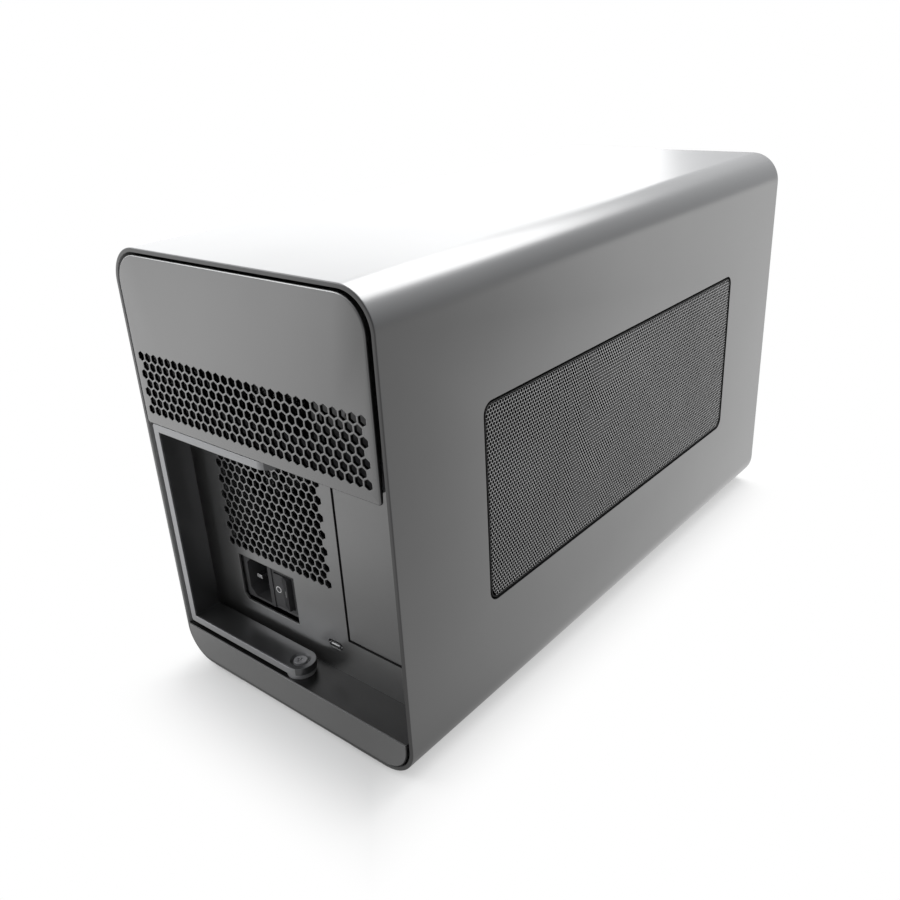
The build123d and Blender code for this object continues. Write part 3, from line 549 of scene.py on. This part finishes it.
cover_cut = rectangle(cover_low[0] - COVER_SEAM, cover_high[0] + COVER_SEAM, COVER_BOTTOM - COVER_SEAM,
                      COVER_TOP + COVER_SEAM)
outline = rounded(back_low[0], back_high[0], back_low[2], back_high[2], PANEL_CORNER)
cutouts = hexagons(FIELD_X, FIELD_LOW, FIELD_COLUMNS, FIELD_ROWS)
cutouts += [rounded(*EXHAUST, EXHAUST_CORNER, steps=SMALL_STEPS), socket_loop(), port_loop()]
back, cover_edge = Builder(), Builder()
for y in (back_low[1], back_high[1]):
    back.flat(outline, cutouts + [cover_cut], at_y(y))
for loop in cutouts + [outline]:
    back.wall(loop, at_y(back_low[1]), at_y(back_high[1]))
# The cover cut-out's walls are a piece of their own in black, painted shade that makes the gap round the slot
# cover dark
cover_edge.wall(cover_cut, at_y(back_low[1]), at_y(back_high[1]))
back.finish("back_panel_fine", "panel_grey", "tray", "back_panel", look=recess_grey)
cover_edge.finish("cover_seam", "panel_grey", "tray", look=seam_shade_black)


# Window sheets with their small holes, drawn six-sided, and round each a black seam that is painted shade

def window_sheet(side, node):
    """The sheet of one window, on the right for side 1 and on the left for side -1."""
    face, behind = mesh_high[0], mesh_low[0]
    mid_y, mid_z = (mesh_low[1] + mesh_high[1]) / 2, (mesh_low[2] + mesh_high[2]) / 2
    half_y = (mesh_high[1] - mesh_low[1]) / 2 - FLANGE - MESH_GAP
    half_z = (mesh_high[2] - mesh_low[2]) / 2 - FLANGE - MESH_GAP
    corner = WINDOW_CORNER - MESH_GAP
    cell = MESH_PITCH / math.sqrt(3)
    step = MESH_PITCH * math.sqrt(3) / 2

    def place(x):
        """Places a sketch point this far out from the box's middle."""
        return at_x(side * x)

    def field(inset):
        """Outline of the raised field."""
        return rounded(mid_y - half_y + inset, mid_y + half_y - inset, mid_z - half_z + inset,
                       mid_z + half_z - inset, corner - inset)

    def fits(y, z):
        """Tells whether a whole cell lies inside the field."""
        over_y, over_z = abs(y) - half_y + corner, abs(z) - half_z + corner
        past = math.hypot(over_y, over_z) if over_y > 0 and over_z > 0 else max(over_y, over_z)
        return past <= corner - cell

    sheet, seam = Builder(), Builder()
    rows = int(half_z / step) + 1
    columns = int(half_y / MESH_PITCH) + 1
    for row in range(-rows, rows):
        z = (row + 0.5) * step
        for column in range(-columns, columns + 1):
            y = (column + 0.5 * (row % 2)) * MESH_PITCH
            if fits(y, z):
                rim = hexagon(mid_y + y, mid_z + z, cell)
                hole = hexagon(mid_y + y, mid_z + z, MESH_HOLE)
                sheet.strip(placed(rim, place(face)), placed(hole, place(face)))
                seam.wall(hole, place(face), place(face - MESH_DEEP))
    # The first ring is painted shade, a black strip just off the face round the field
    shade_ring, border = (SHADE_RING_WIDTH, face + SHADE_RING_LIFT), (MESH_MARGIN, face - MESH_DEEP)
    for inset, x in (shade_ring, border):
        seam.strip(placed(field(inset), place(x)), placed(field(0.0), place(x)))
    seam.wall(window, place(sleeve_high[0]), place(sleeve_high[0] - WALL))
    seam.wall(field(0.0), place(face), place(behind))
    flange = rectangle(mesh_low[1], mesh_high[1], mesh_low[2], mesh_high[2])
    for x in (behind, behind + MESH_SHEET):
        seam.flat(flange, [field(0.0)], place(x))
    seam.wall(flange, place(behind), place(behind + MESH_SHEET))
    sheet.finish(f"{node}_fine", "mesh_dark", "case", node)
    seam.finish(f"{node}_seam", "mesh_dark", "case", look=seam_shade_black)


window_sheet(1, "right_mesh")
window_sheet(-1, "left_mesh")


# Marks on the rocker: a ring on the off side, a bar on the on side

def rocker_mark(name, centre, outer, holes):
    """Thin mark on the rocker's bent face; at rest the rocker leans by half of its joint's range."""
    pivot = Vector(switch["pos_m"])
    turn = math.radians(switch["range_deg"][1] / 2)
    slope = math.atan2(ROCKER_RISE - ROCKER_DIP, ROCKER_HALF)

    def place(p):
        """Lays a sketch point on the face."""
        along = centre + p[0] * math.cos(slope)
        out = ROCKER_DIP + abs(along) * math.tan(slope) + MARK_LIFT
        x = along * math.cos(turn) - out * math.sin(turn)
        y = -along * math.sin(turn) - out * math.cos(turn)
        return tuple(pivot + Vector((x, y, p[1])))

    mark = Builder()
    mark.flat(outer, holes, place)
    mark.finish(name, "rocker_black", "rocker", look=mark_white)


ring, hollow = (polygon(0.0, 0.0, radius, RING_SIDES) for radius in (RING_OUTER, RING_INNER))
bar = rounded(-BAR_WIDE, BAR_WIDE, -BAR_TALL, BAR_TALL, BAR_CORNER, steps=SMALL_STEPS)
rocker_mark("mark_off", -MARK_OFFSET, ring, [hollow])
rocker_mark("mark_on", MARK_OFFSET, bar, [])


# Stage: a pale floor that fades into a white background, and soft studio light

def floor_finish():
    """Pale floor that whitens away from the box; metal mirrors it as a glow with a painted shadow at the box's
    rear and painted dimming towards the near right.
    """
    mat = bpy.data.materials.new("floor_white")
    tree = empty_tree(mat)
    link = tree.links.new

    def ramp(source, span, limits):
        """Smooth change of a node's value from one limit to the other."""
        node = add_node(tree, "MapRange", From_Min=span[0], From_Max=span[1], To_Min=limits[0],
                        To_Max=limits[1])
        node.interpolation_type = "SMOOTHSTEP"
        link(source.outputs["Value"], node.inputs["Value"])
        return node.outputs["Result"]

    def join(operation, a, b):
        """Result of an operation on two outputs."""
        node = add_node(tree, "Math", operation)
        link(a, node.inputs[0])
        link(b, node.inputs[1])
        return node.outputs["Value"]

    out = add_node(tree, "OutputMaterial")
    matte = add_node(tree, "BsdfPrincipled", Base_Color=FLOOR_COLOUR, Roughness=FLOOR_ROUGH)
    glow = add_node(tree, "Emission")
    mix = add_node(tree, "MixShader")
    path = add_node(tree, "LightPath")
    coords = add_node(tree, "TexCoord")
    outward = add_node(tree, "VectorMath", "ABSOLUTE")
    box_side = (sleeve_high[0] - WHITE_SIDE, sleeve_high[1], 0.0)
    past = add_node(tree, "VectorMath", "SUBTRACT", second=box_side)
    sides = add_node(tree, "SeparateXYZ")
    away = add_node(tree, "Math", "MAXIMUM")
    near = add_node(tree, "VectorMath", "DISTANCE", second=SHADE_FROM)
    along = add_node(tree, "VectorMath", "DOT_PRODUCT", second=DIM_TOWARDS)
    for node in (outward, near, along):
        link(coords.outputs["Object"], node.inputs[0])
    link(outward.outputs["Vector"], past.inputs[0])
    link(past.outputs["Vector"], sides.inputs["Vector"])
    link(sides.outputs["X"], away.inputs[0])
    link(sides.outputs["Y"], away.inputs[1])
    white = join("MULTIPLY", path.outputs["Is Camera Ray"], ramp(away, WHITE_SPAN, WHITE_SHARE))
    # Glow that only glossy rays see: painted shadow near the box's rear times painted dimming towards the near
    # right
    mirrored_painted_shade = join("MULTIPLY", ramp(near, SHADE_SPAN, SHADE_LEVEL), ramp(along, DIM_SPAN, DIM_LEVEL))
    link(join("MAXIMUM", path.outputs["Is Camera Ray"], mirrored_painted_shade), glow.inputs["Strength"])
    link(join("MAXIMUM", white, path.outputs["Is Glossy Ray"]), mix.inputs["Fac"])
    link(matte.outputs["BSDF"], mix.inputs[1])
    link(glow.outputs["Emission"], mix.inputs[2])
    link(mix.outputs["Shader"], out.inputs["Surface"])
    mat.cycles.emission_sampling = "NONE"
    return mat


bpy.ops.mesh.primitive_plane_add(size=FLOOR_SIZE, location=(0.0, 0.0, 0.0))
floor = bpy.context.object
floor.name = "floor"
floor.data.materials.append(floor_finish())


def area_light(name, place, target, size, power):
    """Rectangular lamp that faces its target."""
    data = bpy.data.lights.new(name, "AREA")
    data.shape = "RECTANGLE"
    data.size, data.size_y = size
    data.energy = power
    lamp = bpy.data.objects.new(name, data)
    bpy.context.scene.collection.objects.link(lamp)
    lamp.location = place
    lamp.rotation_euler = (Vector(target) - Vector(place)).to_track_quat("-Z", "Y").to_euler()


for name, settings in LAMPS.items():
    area_light(name, *settings)


def studio_world():
    """White to the camera; to everything else a room that is brightest past the front left, high up."""
    world = bpy.data.worlds.new("studio")
    bpy.context.scene.world = world
    tree = empty_tree(world)
    link = tree.links.new
    out = add_node(tree, "OutputWorld")
    seen = add_node(tree, "Background", Color=SEEN_COLOUR)
    room = add_node(tree, "Background", Color=ROOM_COLOUR)
    coords = add_node(tree, "TexCoord")
    towards = add_node(tree, "VectorMath", "DOT_PRODUCT", second=Vector(ROOM_TOWARDS).normalized())
    level = add_node(tree, "MapRange", From_Min=ROOM_SPAN[0], From_Max=ROOM_SPAN[1], To_Min=ROOM_LEVEL[0],
                     To_Max=ROOM_LEVEL[1])
    mix = add_node(tree, "MixShader")
    path = add_node(tree, "LightPath")
    link(coords.outputs["Generated"], towards.inputs[0])
    link(towards.outputs["Value"], level.inputs["Value"])
    link(level.outputs["Result"], room.inputs["Strength"])
    link(path.outputs["Is Camera Ray"], mix.inputs["Fac"])
    link(room.outputs["Background"], mix.inputs[1])
    link(seen.outputs["Background"], mix.inputs[2])
    link(mix.outputs["Shader"], out.inputs["Surface"])


studio_world()
bpy.context.scene.view_settings.view_transform = "Standard"


# Camera

def camera_turn():
    """Camera axes as a matrix: right, up and back, turned by azimuth, elevation and roll."""
    azimuth, elevation, roll = (math.radians(v) for v in (CAMERA_AZIMUTH, CAMERA_ELEVATION, CAMERA_ROLL))
    level = math.cos(elevation)
    back_dir = Vector((math.sin(azimuth) * level, -math.cos(azimuth) * level, math.sin(elevation)))
    right_dir = Vector((math.cos(azimuth), math.sin(azimuth), 0.0))
    up_dir = back_dir.cross(right_dir)
    camera_x = right_dir * math.cos(roll) + up_dir * math.sin(roll)
    camera_y = up_dir * math.cos(roll) - right_dir * math.sin(roll)
    return Matrix((camera_x, camera_y, back_dir)).transposed().to_4x4()


camera_data = bpy.data.cameras.new("camera")
camera_data.sensor_width = CAMERA_SENSOR
camera_data.lens = CAMERA_LENS
camera_data.clip_start = CAMERA_NEAR
camera = bpy.data.objects.new("camera", camera_data)
bpy.context.scene.collection.objects.link(camera)
camera.matrix_world = Matrix.Translation(CAMERA_PLACE) @ camera_turn()
bpy.context.scene.camera = camera
